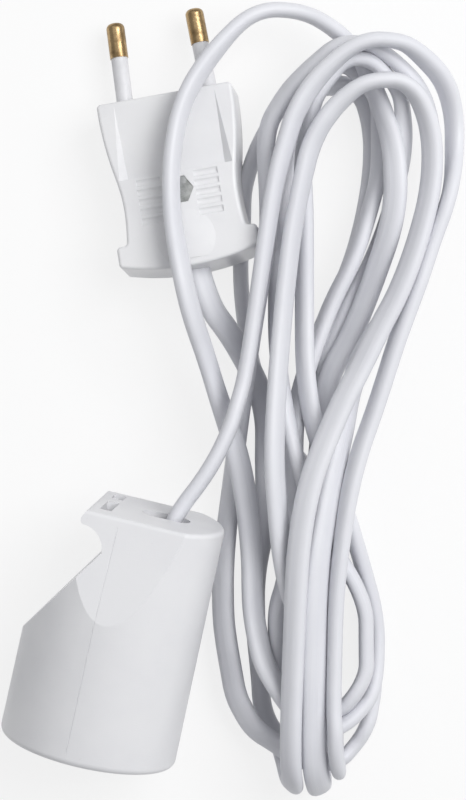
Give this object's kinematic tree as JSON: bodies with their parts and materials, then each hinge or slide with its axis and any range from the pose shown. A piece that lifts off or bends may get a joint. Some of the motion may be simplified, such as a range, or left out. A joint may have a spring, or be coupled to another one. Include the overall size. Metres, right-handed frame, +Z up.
{
  "type": "extension cord",
  "caption": "Two-pole extension cord: flat rewirable plug with round pins, flat flex laid in loose untied loops, and a round portable socket with a shutter.",
  "frame": {"origin": "middle of the socket's footprint on the surface that the cord lies on", "axes": "+Z up from the surface; +Y towards the top of the picture, which is roughly the way from the socket's wide rim to its cord end; +X to the right"},
  "size_m": [0.1004, 0.1727, 0.042],
  "materials": {
    "housing_white": "satin moulded white plastic",
    "inner_white": "matte moulded plastic",
    "plug_white": "satin moulded white plastic",
    "cord_white": "soft flexible sheath",
    "sleeve_grey": "hard insulating sleeve",
    "brass": "turned brass",
    "steel": "zinc-plated steel",
    "core_brown": "core insulation",
    "core_blue": "core insulation"
  },
  "bodies": {
    "cord_set": {"socket_housing": "housing_white", "socket_face_plate": "housing_white", "contact_carrier": "inner_white", "contact_sleeve_left": "brass", "contact_sleeve_right": "brass", "socket_terminal_screws": "steel", "socket_cord_clamp": "inner_white", "socket_clamp_screws": "steel", "socket_line_core": "core_brown", "socket_neutral_core": "core_blue", "socket_lead": "cord_white", "cord_hank": "cord_white", "plug_lead": "cord_white", "plug_line_core": "core_brown", "plug_neutral_core": "core_blue", "plug_front_shell": "plug_white", "plug_back_shell": "plug_white", "plug_pin_left": "brass", "plug_pin_right": "brass", "pin_sleeve_left": "sleeve_grey", "pin_sleeve_right": "sleeve_grey", "plug_terminal_screws": "steel", "plug_cord_clamp": "inner_white", "plug_clamp_screws": "steel", "plug_assembly_screw": "steel", "plug_nut": "steel"},
    "shutter": {"socket_shutter": "inner_white"}
  },
  "joints": [
    {"name": "shutter_turn", "type": "hinge", "parent": "cord_set", "child": "shutter", "pos_m": [-0.00362, -0.01629, 0.0199], "axis": [0.2141, 0.9656, 0.1478], "range_deg": [0, 40], "stiffness_Nm_per_rad": 0.002}
  ]
}
